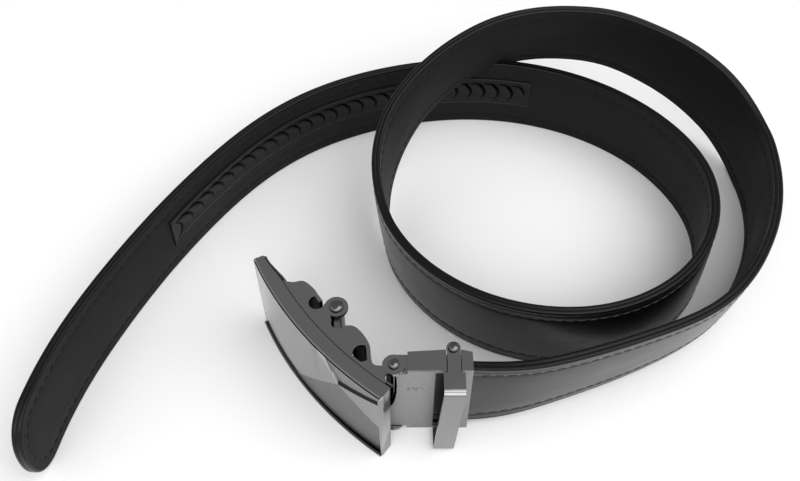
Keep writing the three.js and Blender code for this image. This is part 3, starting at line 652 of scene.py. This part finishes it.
bead = {
    "start": 0.2, "end": 71.1, "front": 1.9, "reach": 3.4, "tipReach": 1.9, "taperFrom": 0.8, "strips": 48,
    # depth behind the face, and height above the plate's upper edge, from the seam to the crease
    "seam": [(0.05, 0.02), (0.32, 0.03), (0.34, 0.22)],
    "crown": [(0.42, 0.36), (0.7, 0.5), (1.1, 0.6), (1.6, 0.67), (2.2, 0.71)],
    # the same, with depth as a share of the shoulder's reach
    "shoulder": [(0.3, 0.72), (0.5, 0.71), (0.7, 0.67), (0.86, 0.61), (0.95, 0.57)],
    "crease": [(1.03, 0.5), (1.06, 0.32), (1.15, 0.03), (1.28, -0.04), (1.45, -0.06)],
    "creaseSlots": [2, 1, 1, 1, 2],
}


def buckleToWorld(along, depth, up):
    turn = math.radians(buckle["turn"])
    angle = (along / buckle["length"] - 0.5) * 2 * bowAngle
    radius = bowRadius - depth
    u = buckle["length"] / 2 + radius * math.sin(angle) - buckle["hingeAlong"]
    v = buckle["hingeDepth"] - (bowRadius - buckle["bow"] - radius * math.cos(angle))
    return Vector((pinX + math.cos(turn) * u - math.sin(turn) * v, pinY + math.sin(turn) * u + math.cos(turn) * v,
                   up)) * mm


def makeBead():   # the rounded rim of the shell, from the seam at the face plate back to the crease at the wall
    places, faces, slots, rows = [], [], [], []
    for i in range(bead["strips"] + 1):
        share = i / bead["strips"]
        along = bead["start"] + (bead["end"] - bead["start"]) * share
        t = min(max((share - bead["taperFrom"]) / (1 - bead["taperFrom"]), 0), 1)
        reach = bead["reach"] + (bead["tipReach"] - bead["reach"]) * t * t * (3 - 2 * t)
        section = bead["seam"] + bead["crown"]
        section += [(bead["front"] + reach * part, rise) for part, rise in bead["shoulder"] + bead["crease"]]
        rows.append(range(len(places), len(places) + len(section)))
        top = buckle["height"] - buckle["rim"] / 2
        places += [buckleToWorld(along, depth, top + rise) for depth, rise in section]
    # painted shade: near black on the seam's strips, and satin, near black, satin across the crease
    kinds = [1] * len(bead["seam"]) + [0] * (len(bead["crown"]) + len(bead["shoulder"]) - 1) + bead["creaseSlots"]
    for a, b in zip(rows, rows[1:]):
        for j in range(len(a) - 1):
            faces.append((a[j], a[j + 1], b[j + 1], b[j]))
            slots.append(kinds[j])
    faces += [tuple(rows[0])[::-1], tuple(rows[-1])]
    slots += [0, 0]
    piece = meshPiece("shell_bead", places, faces, [polished, shaded, satinHalfShade])
    setSlots(piece, slots)
    tidyMesh(piece, 60)
    return piece


upperRim = makeBead()

sill = {
    "start": 0.3, "end": 71.0, "strips": 48,
    "section": [(1.4, 0.06), (-0.7, 0.06), (-0.92, 0.2), (-0.95, 0.5), (-0.8, 0.72), (-0.15, 0.78), (0.04, 0.6)],
}


def makeSill():   # the shell's lower rim, a little in front of the face plate, with a dark seam behind it
    places, faces, rows, slots = [], [], [], []
    for i in range(sill["strips"] + 1):
        along = sill["start"] + (sill["end"] - sill["start"]) * i / sill["strips"]
        rows.append(range(len(places), len(places) + len(sill["section"])))
        places += [buckleToWorld(along, depth, up) for depth, up in sill["section"]]
    for a, b in zip(rows, rows[1:]):
        for j in range(len(a)):
            k = (j + 1) % len(a)
            faces.append((a[j], a[k], b[k], b[j]))
            # the last two strips, in the seam behind the rim, are painted shade
            slots.append(1 if j >= len(a) - 2 else 0)
    faces += [tuple(rows[0])[::-1], tuple(rows[-1])]
    piece = meshPiece("shell_sill", places, faces, [polished, shaded])
    setSlots(piece, slots)
    tidyMesh(piece, 50)
    return piece


lowerRim = makeSill()

endCap = {"from": -0.06, "to": 1.2, "front": -0.5, "back": 4.9, "bottom": 0.04, "top": 39.16, "round": 0.5}


def makeEndCap():   # the rounded lip that closes the shell at its near end
    places, faces = [], []
    size, low, high = endCap["round"], endCap["bottom"], endCap["top"]
    levels = [(low, size), (low + size * 0.3, size * 0.3), (low + size, 0), (high - size, 0),
              (high - size * 0.6, size * 0.08), (high - size * 0.3, size * 0.3), (high - size * 0.08, size * 0.6),
              (high, size)]
    corners = [(endCap["to"], endCap["back"], 0), (endCap["from"], endCap["back"], 90),
               (endCap["from"], endCap["front"], 180), (endCap["to"], endCap["front"], 270)]
    for level, inset in levels:
        for along, depth, turn in corners:
            inAlong = along + (size if along == endCap["from"] else -size)
            inDepth = depth + (size if depth == endCap["front"] else -size)
            for step in range(5):
                angle = math.radians(turn + 22.5 * step)
                reach = size - inset
                across, inward = reach * math.cos(angle), reach * math.sin(angle)
                places.append(buckleToWorld(inAlong + across, inDepth + inward, level))
    ring = len(corners) * 5
    for i in range(len(levels) - 1):
        for j in range(ring):
            k = (j + 1) % ring
            faces.append((i * ring + j, i * ring + k, (i + 1) * ring + k, (i + 1) * ring + j))
    faces += [tuple(range(ring))[::-1], tuple(range(len(places) - ring, len(places)))]
    piece = meshPiece("shell_end", places, faces, [polished])
    tidyMesh(piece, 50)
    return piece


nearEnd = makeEndCap()

clampFace = {
    "front": -2.56, "from": -1.5, "step": 4.5, "to": 13.2, "low": 0.25, "high": 38.7, "innerLow": 2.1,
    "innerHigh": 36.9,
    "pitPlaces": [5.6, 8.25], "pitUp": 26.9, "pitRadius": 1.28, "pitDepth": 0.5, "columns": 48, "rows": 110,
    "leafEnd": 1.05, "leafUp": 29.6, "leafHeight": 14.2, "castTop": 37, "knuckleReach": 2.7, "knuckleSide": 4.2,
}


def makeClampFace():   # the clamp's front sheet as it was cast, with two shallow pits
    face = clampFace
    places, faces = [], []
    for j in range(face["rows"] + 1):
        v = j / face["rows"]
        up = face["low"] + (face["high"] - face["low"]) * v
        away = (up - face["leafUp"]) / face["leafHeight"]
        left = face["from"] + (face["leafEnd"] - face["from"]) * math.sqrt(max(0, 1 - away * away))
        if up < face["innerLow"] or up > face["innerHigh"]:
            left = face["step"]
        for i in range(face["columns"] + 1):
            x = left + (face["to"] - left) * i / face["columns"]
            sink = sum(face["pitDepth"] * max(0, 1 - ((x - px) ** 2 + (up - face["pitUp"]) ** 2)
                                              / face["pitRadius"] ** 2) ** 0.7 for px in face["pitPlaces"])
            places.append(Vector((pinX + x, pinY + face["front"] + sink, up)) * mm)
    wide = face["columns"] + 1
    for j in range(face["rows"]):
        for i in range(face["columns"]):
            a = j * wide + i
            faces.append((a, a + 1, a + wide + 1, a + wide))
    piece = meshPiece("cast_front", places, faces, [cast])
    piece.data.shade_smooth()
    return piece


castFront = makeClampFace()
dressed = {
    "buckle_frame": dressedCopy("buckle_frame", "buckle_shell", [polished, shaded], 0.2, True),
    "clamp_body": dressedCopy("clamp_body", "clamp_shell", [cast, polished, shaded]),
    "keeper": dressedCopy("keeper", "keeper_loop", [polished]),
    "pawl": dressedCopy("pawl", "ratchet_pawl", [satinHalfShade]),
    "hinge_pin": dressedCopy("hinge_pin", "hinge_rivet", [rivetSteel], 0.1),
    "keeper_pin": dressedCopy("keeper_pin", "keeper_rivet", [rivetSteel], 0.1),
    "pawl_pin": dressedCopy("pawl_pin", "pawl_rivet", [rivetSteel], 0.1),
}
for face in dressed["clamp_body"].data.polygons:   # cast in front, polished elsewhere, dark at the knuckle
    flat = face.center.xy / mm - Vector((pinX, pinY))
    face.material_index = 0 if face.normal.y < -0.5 and face.center.z / mm < clampFace["castTop"] else 1
    onKnuckle = flat.length < clampFace["knuckleReach"]
    # painted shade on the knuckle and the faces beside it
    if flat.x < clampFace["knuckleSide"] and abs(face.normal.z) < 0.5 and (onKnuckle or face.normal.y > -0.95):
        face.material_index = 2
for vertex in dressed["buckle_frame"].data.vertices:   # the shell's own lip is tucked into the rounded one
    run, depth = inBuckle(vertex.co)
    if run < buckle["lipRun"] and depth < buckle["lipDepth"]:
        run, depth = max(run, buckle["tuckRun"]), min(max(depth, buckle["tuckFront"]), buckle["tuckBack"])
        vertex.co = buckleToWorld(run, depth, min(max(vertex.co.z / mm, buckle["tuckLow"]), buckle["tuckHigh"]))
for face in dressed["buckle_frame"].data.polygons:   # the channel's inside is dark
    share, _, depth = onPlate(face.center)
    insideEnds = buckle["insideEnds"]
    # painted shade on the channel's inside
    if abs(face.normal.z) < 0.5 and depth > buckle["insideFrom"] and insideEnds < share < 1 - insideEnds:
        face.material_index = 1
print("metal dressed")

# each visible piece, the body that it rides on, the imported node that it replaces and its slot
table = [
    (strapBody, "belt", "strap", "leather"),
    (outerStitches, "belt", None, "leather"),
    (innerStitches, "belt", None, "leather"),
    (rack, "belt", "ratchet_track", "nylon"),
    (plate, "buckle", "face_plate", "polished_metal"),
    (upperRim, "buckle", None, "polished_metal"),
    (lowerRim, "buckle", None, "polished_metal"),
    (nearEnd, "buckle", None, "polished_metal"),
    (castFront, "belt", None, "cast_metal"),
    (dressed["buckle_frame"], "buckle", "buckle_frame", "polished_metal"),
    (dressed["clamp_body"], "belt", "clamp_body", "cast_metal"),
    (dressed["keeper"], "belt", "keeper", "polished_metal"),
    (dressed["pawl"], "pawl", "pawl", "steel"),
    (dressed["hinge_pin"], "belt", "hinge_pin", "steel"),
    (dressed["keeper_pin"], "belt", "keeper_pin", "steel"),
    (dressed["pawl_pin"], "buckle", "pawl_pin", "steel"),
]
for piece, carrier, node, slotName in table:
    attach(piece, carrier)
    if node:
        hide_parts(node)

studio = {
    "floor": "f4f4f4", "cameraX": 2.0, "cameraY": -139.2, "cameraZ": 273, "pitch": 51, "lens": 38.25,
    "sky": "f2f2f2", "skyStrength": 1.0, "flag": "a8a8a8", "flagToward": (0, 0.63, 0.78), "flagFrom": 0.45,
    "flagFull": 0.9, "floorHalf": 3.0, "floorRoughness": 0.85, "sensor": 36, "clipStart": 0.01,
}
# each light's place, target, power and size, in metres and watts
lights = {
    "window": ((0.7, -0.25, 1.25), (0.03, 0, 0), 12, 1.4, 1.4),
    "front": ((-0.1, -1.2, 1.0), (0.0, -0.02, 0.0), 8, 1.4, 0.8),
}


def makeFloor():
    half = studio["floorHalf"]
    mesh = bpy.data.meshes.new("paper_floor")
    mesh.from_pydata([(-half, -half, 0), (half, -half, 0), (half, half, 0), (-half, half, 0)], [], [(0, 1, 2, 3)])
    floor = bpy.data.objects.new("paper_floor", mesh)
    scene.collection.objects.link(floor)
    material, tree, shader = startMaterial("paperFloor", studio["floor"], studio["floorRoughness"])
    mesh.materials.append(material)


def makeLight(name, place, target, power, width, height):
    light = bpy.data.lights.new(name, "AREA")
    light.shape = "RECTANGLE"
    light.size, light.size_y, light.energy = width, height, power
    lamp = bpy.data.objects.new(name, light)
    lamp.location = place
    lamp.rotation_euler = (Vector(target) - Vector(place)).to_track_quat("-Z", "Y").to_euler()
    scene.collection.objects.link(lamp)


def makeCamera():
    camera = bpy.data.cameras.new("camera")
    camera.lens, camera.sensor_width = studio["lens"], studio["sensor"]
    camera.clip_start = studio["clipStart"]
    eye = bpy.data.objects.new("camera", camera)
    eye.location = Vector((pinX + studio["cameraX"], pinY + studio["cameraY"], studio["cameraZ"])) * mm
    eye.rotation_euler = (math.radians(90 - studio["pitch"]), 0, 0)
    scene.collection.objects.link(eye)
    scene.camera = eye


def makeSky():   # an even sky with a dark flag where the level faces are mirrored
    world = bpy.data.worlds.new("sky")
    scene.world = world
    world.use_nodes = True
    tree = world.node_tree
    place = addNode(tree, "ShaderNodeTexCoord").outputs["Generated"]
    toward = addNode(tree, "ShaderNodeVectorMath", {0: place, 1: studio["flagToward"]}, operation="DOT_PRODUCT")
    shade = addNode(tree, "ShaderNodeMapRange", {"Value": toward.outputs["Value"], "From Min": studio["flagFrom"],
                                                 "From Max": studio["flagFull"]}, interpolation_type="SMOOTHSTEP")
    color = addNode(tree, "ShaderNodeMixRGB", {"Fac": shade.outputs["Result"], "Color1": hexColor(studio["sky"]),
                                               "Color2": hexColor(studio["flag"])})
    background = tree.nodes["Background"]
    tree.links.new(color.outputs[0], background.inputs["Color"])
    background.inputs["Strength"].default_value = studio["skyStrength"]


makeFloor()
makeSky()
for lightName, settings in lights.items():
    makeLight(lightName, *settings)
makeCamera()
scene.view_settings.view_transform = "Standard"
print("studio made")
